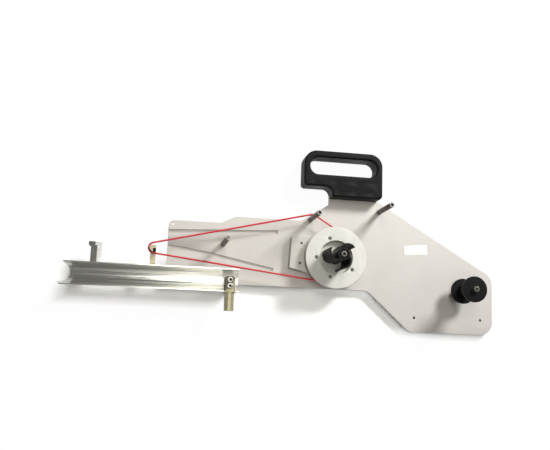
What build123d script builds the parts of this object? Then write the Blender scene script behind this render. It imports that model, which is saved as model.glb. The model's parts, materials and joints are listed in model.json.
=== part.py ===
from build123d import *
from math import acos, asin, atan2, cos, degrees, hypot, radians, sin
import os

# Side plate of a reel-fed strap feeder: a milled plate with a carrying handle, a reel hub
# with a three-jaw core claw, guide posts, a flanged guide spool, a drag belt and a chute.
# Millimetres. Origin on the reel axis at the plate's front face, +X along the plate,
# +Y towards the handle, +Z out of the plate's front face.

os.makedirs("parts", exist_ok=True)

# ---------------------------------------------------------------- clearances
press_gap = 0.01        # pressed or seated pieces of one body
slip_gap = 0.1          # screws in through holes, loose covers
running_gap = 0.04      # shaft in bush, spool on stud
end_gap = 0.2           # axial play of turning pieces

# ---------------------------------------------------------------- side plate
plate_thickness = 6.0
plate_left = -249.5
plate_right = 259.5
plate_bottom = -106.0
rail_bottom = -45.5     # lower edge of the plate's left half
rail_top = 46.2
shoulder_top = 57.0
neck_left = -6.6
tab_left = -46.0
tab_right = 68.0
tab_bottom = 111.0
tab_top = 123.5
corner_round = 5.0       # the plate's small outer corners
inner_round = 3.0        # the plate's small corners beside other pieces
rail_round = 9.0
ramp_round = 12.0
tail_corner_round = 22.0
tail_end_round = 20.0
tail_heel_round = 16.0
knee_round = 18.0
groove_width = 5.0
groove_depth = 3.0
corner_hole_radius = 2.15
corner_hole = (-243.5, 41.0)
tail_holes = ((131.0, -83.5), (239.0, -83.5))

# ---------------------------------------------------------------- carrying handle
handle_left = -51.0
handle_right = 72.5
handle_top = 164.2
handle_bottom = 93.6
handle_step = 108.6     # underside of the handle's left half
handle_step_x = -6.6
handle_front = 22.0     # height of the handle's front face
handle_corner = 20.0
handle_tail_round = 6.0
handle_heel_round = 11.0
handle_edge = 3.0       # rounding of the handle's edges
slot_left = -41.5
slot_right = 63.5
slot_bottom = 127.0
slot_top = 153.6
handle_screw_y = 115.4
handle_screw_x = (-35.6, -3.2, 29.2, 61.6)
neck_screw_y = 99.4
neck_screw_x = (1.2, 29.2, 57.2)

# ---------------------------------------------------------------- fasteners
m3_radius = 1.5
m4_radius = 2.0
m5_radius = 2.5
m5_tap_radius = 2.1      # empty tapped holes
m3_head_radius = 2.9
m4_head_radius = 3.5
m5_head_radius = 4.25
m5_head_height = 5.0
m5_washer_radius = 5.0
m5_washer_thickness = 1.0
thread_depth = 10.0     # how far a back screw reaches into a post

# ---------------------------------------------------------------- guide posts
post_radius = 3.9
post_height = 65.0
post_tap_depth = 12.0
post_slot = 1.8          # slot across the left post's end
post_slot_turn = 45.0    # degrees
post_slot_depth = 6.0
post_left = (-167.3, 14.5)
post_middle = (-35.5, 59.3)
post_right = (73.4, 77.6)

# ---------------------------------------------------------------- reel hub
bearing_plate_thickness = 12.0
bearing_plate_left = -67.5
bearing_plate_height = 47.0
bearing_plate_turn = -3.4      # degrees
bearing_plate_round = 33.0     # its round end, about the reel axis
brake_hole_spacing = 30.3
brake_hole_radius = 1.65
brake_hole_x = -51.8
brake_hole_y = 2.5
housing_flange_radius = 24.0
housing_flange_thickness = 6.0
housing_radius = 15.0
housing_recess_radius = 13.0
housing_screw_circle = 19.3
bush_radius = 10.0
bush_length = 7.0
bush_flange_radius = 12.0
bush_flange_thickness = 1.0
shaft_radius = 7.0
shaft_top = 63.5
shaft_tail = 4.8               # how far the shaft stands out behind the plate
shaft_flat = 1.2               # depth of the flat that drives the claw
retaining_washer_radius = 11.0
retaining_thickness = 1.0
ring_radius = 9.0
ring_groove_depth = 0.6
pulley_thickness = 7.8
belt_radius = 1.3
belt_groove_gap = 0.35
pulley_pitch_radius = 38.2
pulley_rim = 1.0               # rim height above the belt's centre line
recess_radius = 25.5
recess_floor_thickness = 3.3
disc_radius = 46.5
disc_thickness = 4.0
disc_screw_circle = 30.2
disc_screw_angle = 37.5
disc_screw_count = 5

# ---------------------------------------------------------------- core claw
jaw_count = 3
jaw_tip_radius = 20.9
jaw_tip_angle = 32.0
jaw_arc_radius = 12.3
jaw_blade = 2.4                # thickness of the jaw's curved blade
jaw_height = 49.5
nose_radius = 9.4
nose_height = 5.0              # nose above the jaws
nose_wall = 3.0                # between the shaft's end and the washer seat
nose_seat_radius = 6.6
claw_washer_radius = 6.3
claw_washer_thickness = 1.2
grip_pitch = 9.0               # degrees between grip grooves along a jaw
grip_size = 0.9
grip_count = 9

# ---------------------------------------------------------------- guide spool
spool_at = (201.3, -41.3)
stud_radius = 5.0
spool_spacer_radius = 8.0
spool_flange_radius = 19.2
spool_flange_thickness = 3.8
spool_groove = 38.0
spool_core_radius = 9.5
spool_back = 20.2              # height of the back flange's back face
spool_hub_radius = 7.0         # spigots that the flanges sit on
spool_washer_radius = 7.5

# ---------------------------------------------------------------- product chute
chute_at = (-155.5, -41.2)     # middle of the chute's fixed end, in plan
chute_turn = 0.0               # degrees
chute_lip = 27.0               # height of the chute's open side
chute_radius = 16.8
chute_wall = 1.5
chute_right = 11.0             # chute's own x of its square end
chute_left = -247.0            # chute's own x of its lower left tip
chute_slant = 9.0              # the upper left tip stands this much further in
chute_clip = 7.0               # lower left corner cut off
scoop_radius = 14.2
scoop_at = (-243.0, 1.5)
chute_screw_x = (-6.0, 5.0)
chute_screw_y = 8.2
spacer_left = -11.0
spacer_low = -3.9
spacer_high = 13.7
leg_top = 4.9
leg_bottom = -44.6
leg_middle = -2.7
leg_width = 14.6
leg_foot_width = 13.4
leg_thickness = 5.0
leg_round = 3.0                # corners of the leg's pad
leg_edge = 0.6
leg_ridge = 4.8                # flat along the middle of the leg's lower part
leg_slope = 1.8                # how far its sides fall beside the flat
leg_drop = 5.0                 # the leg's lower part is this much thicker, under the lip
leg_ear = 1.2
leg_screw_y = (-0.3, -9.1)
leg_screw_length = 8.0
leg_block_inset = 1.0          # the block under the pad stands back by this much
arm_low = 8.0                  # height of the hook arms' back faces
arm_front = 14.5
hook_front = 24.0
left_hook_front = 22.0

# ---------------------------------------------------------------- hooks on the chute
loop_at = (-269.1, 1.1)        # middle of the belt's small loop
loop_radius = 7.6
peg_reach = 3.1                # peg's right, upper and lower sides from the loop's middle
peg_rise = 3.5
peg_drop = 6.0
stop_width = 4.3
stop_height = 4.2
stop_rise = 0.6                # the stop block's lower side above the peg's
middle_arm_width = 7.8
middle_arm_x = -114.6          # chute's own x of the arm's middle
arm_groove_y = (19.8, 25.4)
arm_groove_width = 1.2
arm_groove_depth = 0.5
left_arm_x = -197.6
left_arm_width = 8.4
left_hook_top = 46.2
left_head_height = 4.6
left_head_shift = 3.3          # the head overhangs the arm by this much
left_head_slant = 2.6
left_shoulder_drop = 5.3       # shoulder that the light bar's head sits on
left_shoulder_width = 2.7
light_bar_width = 6.4
light_bar_gap = 0.5            # the light bar's top below the hook's

# ================================================================ worked-out sizes
back = -plate_thickness
washer_face = back - m5_washer_thickness
rest_level = washer_face - m5_head_height
hub_bore = housing_radius + press_gap
housing_top = bearing_plate_thickness
pulley_back = housing_top + bush_flange_thickness + end_gap
disc_back = pulley_back + pulley_thickness
disc_front = disc_back + disc_thickness
recess_floor = pulley_back + recess_floor_thickness
belt_level = pulley_back + pulley_thickness / 2
jaw_top = recess_floor + jaw_height
nose_top = jaw_top + nose_height
nose_seat = shaft_top + nose_wall
spool_front = spool_back + 2 * spool_flange_thickness + spool_groove
stud_top = spool_front + end_gap
spacer_top = spool_back - end_gap
bore_radius = chute_radius - chute_wall
leg_front = chute_lip + leg_thickness
leg_lower_length = -chute_radius - 0.5 - leg_bottom
leg_screw_spots = [(leg_middle, y) for y in leg_screw_y]


def turned(radius, angle):
    """Point at a radius and an angle in degrees."""
    return (radius * cos(radians(angle)), radius * sin(radians(angle)))


def outer_tangent(from_centre, from_radius, to_centre, to_radius):
    """Touch points of the line that runs round the left side of two circles."""
    run = (to_centre[0] - from_centre[0], to_centre[1] - from_centre[1])
    heading = atan2(run[1], run[0]) + asin((to_radius - from_radius) / hypot(*run))
    side = (-sin(heading), cos(heading))
    start = (from_centre[0] + from_radius * side[0], from_centre[1] + from_radius * side[1])
    end = (to_centre[0] + to_radius * side[0], to_centre[1] + to_radius * side[1])
    return start, end


# ---------------------------------------------------------------- fastener shapes
def cap_screw(head_radius, head_height, shank_radius, length):
    """Socket head screw, its seat at z=0, its head above and its shank below."""
    with BuildPart() as screw:
        Cylinder(head_radius, head_height, align=(Align.CENTER, Align.CENTER, Align.MIN))
        chamfer(screw.edges().group_by(Axis.Z)[-1], head_radius * 0.1)
        with BuildSketch(Plane.XY.offset(head_height)):
            RegularPolygon(head_radius * 0.55, 6)
        extrude(amount=-head_height * 0.6, mode=Mode.SUBTRACT)
        Cylinder(shank_radius, length, align=(Align.CENTER, Align.CENTER, Align.MAX))
    return screw.part


def flat_screw(head_radius, shank_radius, length):
    """Countersunk screw, its flat head at z=0 and its shank below."""
    cone = head_radius - shank_radius
    with BuildPart() as screw:
        with BuildSketch(Plane.XZ):
            with BuildLine():
                Polyline(
                    (0, 0),
                    (head_radius, 0),
                    (shank_radius, -cone),
                    (shank_radius, -length),
                    (0, -length),
                    close=True,
                )
            make_face()
        revolve(axis=Axis.Z)
        with BuildSketch():
            RegularPolygon(head_radius * 0.45, 6)
        extrude(amount=-cone * 0.8, mode=Mode.SUBTRACT)
    return screw.part


def washer(radius, hole_radius, thickness):
    """Flat washer standing on z=0."""
    with BuildPart() as ring:
        with BuildSketch():
            Circle(radius)
            Circle(hole_radius, mode=Mode.SUBTRACT)
        extrude(amount=thickness)
    return ring.part


# ================================================================ side plate
ramp_start = (-172.0, rail_top)
ramp_end = (-150.0, shoulder_top)
shoulder_end = (-49.5, shoulder_top)
neck_corner = (neck_left, 84.5)
neck_right = (tab_right, 95.4)
tail_corner = (plate_right, -15.7)
tail_heel = (123.5, plate_bottom)
knee = (56.0, rail_bottom)

plate_outline = {
    (plate_left, rail_bottom): inner_round,
    (plate_left, rail_top): rail_round,
    ramp_start: ramp_round,
    ramp_end: ramp_round,
    shoulder_end: corner_round,
    neck_corner: corner_round,
    (neck_left, tab_bottom): inner_round,
    (tab_left, tab_bottom): corner_round,
    (tab_left, tab_top): corner_round,
    (tab_right, tab_top): corner_round,
    neck_right: inner_round,
    tail_corner: tail_corner_round,
    (plate_right, plate_bottom): tail_end_round,
    tail_heel: tail_heel_round,
    knee: knee_round,
}

grooves = (
    ((plate_left, 29.8), (-85.5, 37.2)),
    ((plate_left, 7.6), (-182.0, -2.3), (-91.0, -20.8)),
)

chute_plan = Plane(
    origin=(*chute_at, 0),
    x_dir=(cos(radians(chute_turn)), sin(radians(chute_turn)), 0),
    z_dir=(0, 0, 1),
)


def on_plate(spot):
    """Plate position of a point given in the chute's own plan."""
    place = chute_plan.from_local_coords(Vector(*spot))
    return (place.X, place.Y)


back_fixings = [post_left, post_middle, post_right, spool_at]
back_fixings += [on_plate((x, chute_screw_y)) for x in chute_screw_x]
housing_screw_spots = [turned(housing_screw_circle, 45 + 90 * i) for i in range(4)]
handle_spots = [(x, handle_screw_y) for x in handle_screw_x]
handle_spots += [(x, neck_screw_y) for x in neck_screw_x]

with BuildPart() as side_plate:
    with BuildSketch(Plane.XY.offset(back)):
        with BuildLine():
            FilletPolyline(*plate_outline, radius=list(plate_outline.values()), close=True)
        make_face()
        Circle(hub_bore, mode=Mode.SUBTRACT)
        with Locations(*back_fixings):
            Circle(m5_radius + slip_gap, mode=Mode.SUBTRACT)
        with Locations(corner_hole, *tail_holes):
            Circle(corner_hole_radius, mode=Mode.SUBTRACT)
        with Locations(*housing_screw_spots, *handle_spots):
            Circle(m4_radius + slip_gap, mode=Mode.SUBTRACT)
    extrude(amount=plate_thickness)
    chamfer(side_plate.faces().sort_by(Axis.Z)[-1].outer_wire().edges(), 0.4)
    for course in grooves:
        with BuildSketch(Plane.XY):
            with BuildLine():
                Polyline((course[0][0] - groove_width, course[0][1]), *course)
            trace(line_width=groove_width)
        extrude(amount=-groove_depth, mode=Mode.SUBTRACT)

side_plate.part.label = "side_plate"
export_step(side_plate.part, "parts/side_plate.step")

# ================================================================ carrying handle
with BuildPart() as carry_handle:
    with BuildSketch(Plane.XY.offset(back)):
        with BuildLine():
            FilletPolyline(
                (handle_left, handle_step),
                (handle_left, handle_top),
                (handle_right, handle_top),
                (handle_right, handle_bottom),
                (handle_step_x, handle_bottom),
                (handle_step_x, handle_step),
                radius=[
                    corner_round,
                    handle_corner,
                    handle_corner,
                    handle_tail_round,
                    handle_corner / 10,
                    handle_heel_round,
                ],
                close=True,
            )
        make_face()
    extrude(amount=handle_front - back)
    finger_height = slot_top - slot_bottom
    with BuildSketch(Plane.XY.offset(back)):
        with Locations(((slot_left + slot_right) / 2, (slot_bottom + slot_top) / 2)):
            SlotOverall(slot_right - slot_left, finger_height)
    extrude(amount=handle_front - back, mode=Mode.SUBTRACT)
    fillet(carry_handle.faces().sort_by(Axis.Z)[-1].edges(), handle_edge)
    with BuildSketch(Plane.XY.offset(back)):
        with BuildLine():
            FilletPolyline(*plate_outline, radius=list(plate_outline.values()), close=True)
        make_face()
        offset(amount=slip_gap)
    extrude(amount=plate_thickness + press_gap, mode=Mode.SUBTRACT)
    with Locations(*[(x, y, handle_front) for x, y in handle_spots]):
        CounterSinkHole(m4_radius + slip_gap, m4_head_radius + slip_gap, counter_sink_angle=90)

carry_handle.part.label = "carry_handle"
export_step(carry_handle.part, "parts/carry_handle.step")

with BuildPart() as handle_screws:
    with Locations(*[(x, y, handle_front - press_gap) for x, y in handle_spots]):
        add(flat_screw(m4_head_radius, m4_radius, handle_front - back - 1.0))

handle_screws.part.label = "handle_screws"
export_step(handle_screws.part, "parts/handle_screws.step")

# ================================================================ guide posts
def guide_post(spot):
    """Steel rod standing on the plate, tapped for the screw behind the plate."""
    with BuildPart(Plane(origin=(*spot, 0))) as post:
        Cylinder(post_radius, post_height, align=(Align.CENTER, Align.CENTER, Align.MIN))
        chamfer(post.edges().filter_by(GeomType.CIRCLE), 0.5)
        Cylinder(
            m5_radius + press_gap,
            thread_depth + 1,
            align=(Align.CENTER, Align.CENTER, Align.MIN),
            mode=Mode.SUBTRACT,
        )
    return post.part


with BuildPart() as guide_post_left:
    add(guide_post(post_left))
    with BuildSketch(Plane(origin=(*post_left, post_height))):
        Rectangle(3 * post_radius, post_slot, rotation=post_slot_turn)
    extrude(amount=-post_slot_depth, mode=Mode.SUBTRACT)

guide_post_left.part.label = "guide_post_left"
export_step(guide_post_left.part, "parts/guide_post_left.step")

with BuildPart() as guide_post_middle:
    add(guide_post(post_middle))
    with Locations((*post_middle, post_height)):
        Hole(m5_tap_radius, depth=post_tap_depth)

guide_post_middle.part.label = "guide_post_middle"
export_step(guide_post_middle.part, "parts/guide_post_middle.step")

with BuildPart() as guide_post_right:
    add(guide_post(post_right))
    with Locations((*post_right, post_height)):
        Hole(m5_tap_radius, depth=post_tap_depth)

guide_post_right.part.label = "guide_post_right"
export_step(guide_post_right.part, "parts/guide_post_right.step")

# ================================================================ bearing plate and housing
flare = asin((bearing_plate_round - bearing_plate_height / 2) / -bearing_plate_left)
flare_touch = turned(bearing_plate_round, 90 + degrees(flare))
bearing_plate_low = brake_hole_y - bearing_plate_height / 2
with BuildPart() as bearing_plate:
    with BuildSketch(Plane.XY.rotated((0, 0, bearing_plate_turn))):
        Circle(bearing_plate_round)
        with BuildLine():
            Polyline(
                (bearing_plate_left, bearing_plate_low + bearing_plate_height),
                flare_touch,
                (flare_touch[0], -flare_touch[1]),
                (bearing_plate_left, bearing_plate_low),
                close=True,
            )
        make_face()
        Circle(hub_bore, mode=Mode.SUBTRACT)
        with Locations((brake_hole_x, brake_hole_y)):
            with GridLocations(0, brake_hole_spacing, 1, 2):
                Circle(brake_hole_radius, mode=Mode.SUBTRACT)
    extrude(amount=bearing_plate_thickness)
    chamfer(bearing_plate.faces().sort_by(Axis.Z)[-1].outer_wire().edges(), 0.4)
    with Locations(*housing_screw_spots):
        Cylinder(
            m4_radius + press_gap,
            bearing_plate_thickness - 1,
            align=(Align.CENTER, Align.CENTER, Align.MIN),
            mode=Mode.SUBTRACT,
        )

bearing_plate.part.label = "bearing_plate"
export_step(bearing_plate.part, "parts/bearing_plate.step")

with BuildPart() as bearing_housing:
    with BuildSketch(Plane.XY.offset(rest_level)):
        Circle(housing_flange_radius)
    extrude(amount=housing_flange_thickness)
    chamfer(bearing_housing.edges().group_by(Axis.Z)[0], 0.5)
    with BuildSketch(Plane.XY.offset(back)):
        Circle(housing_radius)
    extrude(amount=housing_top - back)
    with BuildSketch(Plane.XY.offset(rest_level)):
        Circle(bush_radius + press_gap)
    extrude(amount=housing_top - rest_level, mode=Mode.SUBTRACT)
    with BuildSketch(Plane.XY.offset(rest_level)):
        Circle(housing_recess_radius)
    extrude(amount=housing_flange_thickness, mode=Mode.SUBTRACT)
    with Locations(Plane.XY.offset(rest_level).rotated((180, 0, 0))):
        with Locations(*housing_screw_spots):
            CounterSinkHole(
                m4_radius + slip_gap,
                m4_head_radius + slip_gap,
                depth=housing_flange_thickness,
                counter_sink_angle=90,
            )

bearing_housing.part.label = "bearing_housing"
export_step(bearing_housing.part, "parts/bearing_housing.step")

housing_screw_length = housing_top - rest_level - 3
with BuildPart() as housing_screws:
    with Locations(Plane.XY.offset(rest_level + press_gap).rotated((180, 0, 0))):
        with Locations(*housing_screw_spots):
            add(flat_screw(m4_head_radius, m4_radius, housing_screw_length))

housing_screws.part.label = "housing_screws"
export_step(housing_screws.part, "parts/housing_screws.step")


def hub_bush(seat, outward):
    """Flanged bronze bush with its flange on the housing's end at a height."""
    with BuildPart() as bush:
        with BuildSketch(Plane((0, 0, seat), z_dir=(0, 0, outward))):
            Circle(bush_flange_radius)
        extrude(amount=bush_flange_thickness)
        with BuildSketch(Plane((0, 0, seat), z_dir=(0, 0, outward))):
            Circle(bush_radius)
        extrude(amount=-bush_length)
        Cylinder(
            shaft_radius + running_gap,
            2 * (housing_top - rest_level),
            mode=Mode.SUBTRACT,
        )
    return bush.part


with BuildPart() as hub_bushes:
    add(hub_bush(housing_top, 1))
    add(hub_bush(back, -1))

hub_bushes.part.label = "hub_bushes"
export_step(hub_bushes.part, "parts/hub_bushes.step")

# ================================================================ turning hub
ring_seat = back - bush_flange_thickness - end_gap - retaining_thickness
ring_groove_radius = shaft_radius - ring_groove_depth
with BuildPart() as hub_shaft:
    with BuildSketch(Plane.XY.offset(back - shaft_tail)):
        Circle(shaft_radius)
    extrude(amount=shaft_top - back + shaft_tail)
    chamfer(hub_shaft.edges().filter_by(GeomType.CIRCLE), 0.6)
    with BuildSketch(Plane.XY.offset(ring_seat)):
        Circle(shaft_radius + 1)
        Circle(ring_groove_radius, mode=Mode.SUBTRACT)
    extrude(amount=-retaining_thickness, mode=Mode.SUBTRACT)
    with BuildSketch(Plane.XY.offset(recess_floor)):
        with Locations((shaft_radius - shaft_flat, 0)):
            Rectangle(shaft_radius, 2 * shaft_radius, align=(Align.MIN, Align.CENTER))
    extrude(amount=shaft_top - recess_floor, mode=Mode.SUBTRACT)
    with Locations((0, 0, shaft_top)):
        Hole(m5_radius + press_gap, depth=thread_depth + 2)

hub_shaft.part.label = "hub_shaft"
export_step(hub_shaft.part, "parts/hub_shaft.step")

with BuildPart() as retaining_washer:
    with Locations((0, 0, ring_seat + press_gap)):
        add(washer(retaining_washer_radius, shaft_radius + slip_gap, retaining_thickness - press_gap))

retaining_washer.part.label = "retaining_washer"
export_step(retaining_washer.part, "parts/retaining_washer.step")

with BuildPart() as retaining_ring:
    with BuildSketch(Plane.XY.offset(ring_seat - press_gap)):
        Circle(ring_radius)
        Circle(ring_groove_radius + press_gap, mode=Mode.SUBTRACT)
        with Locations((-shaft_radius, 0)):
            Rectangle(2 * shaft_radius, shaft_radius, mode=Mode.SUBTRACT)
    extrude(amount=-retaining_thickness + 2 * press_gap)

retaining_ring.part.label = "retaining_ring"
export_step(retaining_ring.part, "parts/retaining_ring.step")

disc_screw_spots = [
    turned(disc_screw_circle, disc_screw_angle + 360 / disc_screw_count * i)
    for i in range(disc_screw_count)
]
disc_screw_length = disc_thickness + 5

with BuildPart() as belt_pulley:
    rim_radius = pulley_pitch_radius + pulley_rim
    with BuildSketch(Plane.XY.offset(pulley_back)):
        Circle(rim_radius)
        Circle(shaft_radius + press_gap, mode=Mode.SUBTRACT)
    extrude(amount=pulley_thickness)
    with BuildSketch(Plane.XY.offset(recess_floor)):
        Circle(recess_radius)
    extrude(amount=pulley_thickness, mode=Mode.SUBTRACT)
    groove_half = belt_radius + belt_groove_gap
    groove_floor = pulley_pitch_radius - groove_half
    with BuildSketch(Plane.XZ):
        with BuildLine():
            Polyline(
                (groove_floor, belt_level - groove_half * 0.7),
                (rim_radius + 0.1, belt_level - groove_half * 1.4),
                (rim_radius + 0.1, belt_level + groove_half * 1.4),
                (groove_floor, belt_level + groove_half * 0.7),
                close=True,
            )
        make_face()
    revolve(axis=Axis.Z, mode=Mode.SUBTRACT)
    with Locations(*[(x, y, disc_back) for x, y in disc_screw_spots]):
        Hole(m3_radius + press_gap, depth=disc_screw_length - disc_thickness + 0.5)

belt_pulley.part.label = "belt_pulley"
export_step(belt_pulley.part, "parts/belt_pulley.step")

with BuildPart() as reel_disc:
    with BuildSketch(Plane.XY.offset(disc_back)):
        Circle(disc_radius)
        Circle(recess_radius, mode=Mode.SUBTRACT)
    extrude(amount=disc_thickness)
    chamfer(reel_disc.faces().sort_by(Axis.Z)[-1].edges(), 0.5)
    with Locations(*[(x, y, disc_front) for x, y in disc_screw_spots]):
        CounterSinkHole(m3_radius + slip_gap, m3_head_radius + slip_gap, counter_sink_angle=90)

reel_disc.part.label = "reel_disc"
export_step(reel_disc.part, "parts/reel_disc.step")

with BuildPart() as disc_screws:
    with Locations(*[(x, y, disc_front - press_gap) for x, y in disc_screw_spots]):
        add(flat_screw(m3_head_radius, m3_radius, disc_screw_length))

disc_screws.part.label = "disc_screws"
export_step(disc_screws.part, "parts/disc_screws.step")

# ================================================================ core claw
def jaw_plane(index):
    """Plane at the claw's foot with +X towards one jaw's tip."""
    return Plane.XY.offset(recess_floor).rotated((0, 0, jaw_tip_angle + 360 / jaw_count * index))


jaw_arc_at = jaw_tip_radius - jaw_arc_radius
jaw_arc_sweep = degrees(
    acos(
        (nose_radius**2 - jaw_arc_at**2 - jaw_arc_radius**2) / (2 * jaw_arc_at * jaw_arc_radius)
    )
)
claw_washer_top = nose_seat + claw_washer_thickness

with BuildPart() as core_claw:
    with BuildSketch(Plane.XY.offset(recess_floor)):
        Circle(nose_radius)
    extrude(amount=nose_top - recess_floor)
    chamfer(core_claw.edges().group_by(Axis.Z)[-1], 0.5)
    for jaw in range(jaw_count):
        with BuildSketch(jaw_plane(jaw)):
            with BuildLine():
                jaw_arc = CenterArc((jaw_arc_at, 0), jaw_arc_radius, 0, jaw_arc_sweep)
                Line(jaw_arc @ 1, (jaw_arc_at, 0))
                Line((jaw_arc_at, 0), jaw_arc @ 0)
            make_face()
            with Locations((jaw_arc_at, 0)):
                Circle(jaw_arc_radius - jaw_blade, mode=Mode.SUBTRACT)
                with PolarLocations(jaw_arc_radius, grip_count, grip_pitch, grip_pitch * (grip_count - 1)):
                    Rectangle(grip_size, grip_size, rotation=45, mode=Mode.SUBTRACT)
        extrude(amount=jaw_height)
    with BuildSketch(Plane.XY.offset(recess_floor)):
        Circle(shaft_radius + press_gap)
        with Locations((shaft_radius - shaft_flat + press_gap, 0)):
            Rectangle(
                shaft_radius,
                2 * nose_radius,
                align=(Align.MIN, Align.CENTER),
                mode=Mode.SUBTRACT,
            )
    extrude(amount=shaft_top - recess_floor, mode=Mode.SUBTRACT)
    with BuildSketch(Plane.XY.offset(shaft_top)):
        Circle(m5_radius + slip_gap)
    extrude(amount=nose_wall, mode=Mode.SUBTRACT)
    with BuildSketch(Plane.XY.offset(nose_seat)):
        Circle(nose_seat_radius)
    extrude(amount=nose_top - nose_seat, mode=Mode.SUBTRACT)

core_claw.part.label = "core_claw"
export_step(core_claw.part, "parts/core_claw.step")

with BuildPart() as claw_washer:
    with Locations((0, 0, nose_seat)):
        add(washer(claw_washer_radius, m5_radius + slip_gap, claw_washer_thickness))

claw_washer.part.label = "claw_washer"
export_step(claw_washer.part, "parts/claw_washer.step")

with BuildPart() as claw_screw:
    with Locations((0, 0, claw_washer_top)):
        add(
            cap_screw(
                m5_head_radius,
                m5_head_height,
                m5_radius,
                claw_washer_top - shaft_top + thread_depth,
            )
        )

claw_screw.part.label = "claw_screw"
export_step(claw_screw.part, "parts/claw_screw.step")

# ================================================================ screws behind the plate
with BuildPart() as back_washers:
    with Locations(*[(x, y, washer_face) for x, y in back_fixings]):
        add(washer(m5_washer_radius, m5_radius + slip_gap, m5_washer_thickness))

back_washers.part.label = "back_washers"
export_step(back_washers.part, "parts/back_washers.step")

with BuildPart() as back_screws:
    with Locations(*[Plane((x, y, washer_face), z_dir=(0, 0, -1)) for x, y in back_fixings]):
        add(cap_screw(m5_head_radius, m5_head_height, m5_radius, thread_depth - washer_face))

back_screws.part.label = "back_screws"
export_step(back_screws.part, "parts/back_screws.step")

# ================================================================ guide spool
with BuildPart(Plane(origin=(*spool_at, 0))) as spool_stud:
    Cylinder(stud_radius, stud_top, align=(Align.CENTER, Align.CENTER, Align.MIN))
    chamfer(spool_stud.edges().filter_by(GeomType.CIRCLE), 0.5)
    with Locations((0, 0, stud_top)):
        Hole(m5_radius + press_gap, depth=thread_depth + 1)
    Cylinder(
        m5_radius + press_gap,
        thread_depth + 1,
        align=(Align.CENTER, Align.CENTER, Align.MIN),
        mode=Mode.SUBTRACT,
    )

spool_stud.part.label = "spool_stud"
export_step(spool_stud.part, "parts/spool_stud.step")

with BuildPart() as spool_spacer:
    with Locations((*spool_at, 0)):
        add(washer(spool_spacer_radius, stud_radius + press_gap, spacer_top))

spool_spacer.part.label = "spool_spacer"
export_step(spool_spacer.part, "parts/spool_spacer.step")

with BuildPart() as spool_washer:
    with Locations((*spool_at, stud_top)):
        add(washer(spool_washer_radius, m5_radius + slip_gap, m5_washer_thickness))

spool_washer.part.label = "spool_washer"
export_step(spool_washer.part, "parts/spool_washer.step")

with BuildPart() as spool_screw:
    with Locations((*spool_at, stud_top + m5_washer_thickness)):
        add(cap_screw(m5_head_radius, m5_head_height, m5_radius, m5_washer_thickness + thread_depth))

spool_screw.part.label = "spool_screw"
export_step(spool_screw.part, "parts/spool_screw.step")


def spool_flange(height):
    """Flange ring of the guide spool with its back face at a height."""
    with BuildPart(Plane(origin=(*spool_at, height))) as flange:
        add(washer(spool_flange_radius, spool_hub_radius + press_gap, spool_flange_thickness))
        fillet(flange.edges().filter_by(GeomType.CIRCLE).group_by(SortBy.RADIUS)[-1], 0.8)
    return flange


spool_back_flange = spool_flange(spool_back)
spool_back_flange.part.label = "spool_back_flange"
export_step(spool_back_flange.part, "parts/spool_back_flange.step")

spool_front_flange = spool_flange(spool_front - spool_flange_thickness)
spool_front_flange.part.label = "spool_front_flange"
export_step(spool_front_flange.part, "parts/spool_front_flange.step")

with BuildPart(Plane(origin=(*spool_at, spool_back))) as spool_core:
    Cylinder(
        spool_hub_radius,
        spool_front - spool_back,
        align=(Align.CENTER, Align.CENTER, Align.MIN),
    )
    with Locations((0, 0, spool_flange_thickness + press_gap)):
        Cylinder(
            spool_core_radius,
            spool_groove - 2 * press_gap,
            align=(Align.CENTER, Align.CENTER, Align.MIN),
        )
    Hole(stud_radius + running_gap)

spool_core.part.label = "spool_core"
export_step(spool_core.part, "parts/spool_core.step")

# ================================================================ drag belt
belt_rounds = (
    (loop_at, loop_radius),
    (post_middle, post_radius + belt_radius + slip_gap),
    ((0.0, 0.0), pulley_pitch_radius),
)
belt_runs = [
    outer_tangent(*belt_rounds[i], *belt_rounds[(i + 1) % len(belt_rounds)])
    for i in range(len(belt_rounds))
]

with BuildPart() as drag_belt:
    for i in range(len(belt_rounds)):
        centre = belt_rounds[i][0]
        arrive = belt_runs[i - 1][1]
        leave = belt_runs[i][0]
        ahead = Vector(*belt_runs[i][1]) - Vector(*leave)
        into = degrees(atan2(arrive[1] - centre[1], arrive[0] - centre[0]))
        away = degrees(atan2(leave[1] - centre[1], leave[0] - centre[0]))
        with BuildSketch(Plane(origin=(*leave, belt_level), z_dir=ahead)):
            Circle(belt_radius)
        extrude(amount=ahead.length)
        with BuildSketch(Plane(origin=(*leave, belt_level), z_dir=ahead)):
            Circle(belt_radius)
        revolve(axis=Axis((*centre, belt_level), (0, 0, 1)), revolution_arc=(into - away) % 360)

drag_belt.part.label = "drag_belt"
export_step(drag_belt.part, "parts/drag_belt.step")

# ================================================================ product chute
def across_chute(x):
    """Plane across the chute at its own x, with its own y and the height as axes."""
    return Plane(origin=(*on_plate((x, 0)), 0), x_dir=chute_plan.y_dir, z_dir=chute_plan.x_dir)


scoop_corner = (chute_left, scoop_at[1] - scoop_radius + 0.7)
with BuildPart() as chute:
    with BuildSketch(across_chute(chute_left)):
        with Locations((0, chute_lip)):
            Circle(chute_radius)
            Circle(bore_radius, mode=Mode.SUBTRACT)
            Rectangle(
                2 * chute_radius,
                chute_radius,
                align=(Align.CENTER, Align.MIN),
                mode=Mode.SUBTRACT,
            )
    extrude(amount=chute_right - chute_left)
    with BuildSketch(chute_plan):
        with Locations(scoop_at):
            Circle(scoop_radius)
        with Locations((chute_left, scoop_at[1])):
            Rectangle(chute_slant, 2 * chute_radius, align=(Align.MIN, Align.MIN))
        with BuildLine():
            Polyline(
                scoop_corner,
                (chute_left - 1, scoop_corner[1]),
                (chute_left - 1, -chute_radius - 1),
                (chute_left + chute_clip, -chute_radius - 1),
                close=True,
            )
        make_face()
    extrude(amount=chute_lip + 1, mode=Mode.SUBTRACT)

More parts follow.
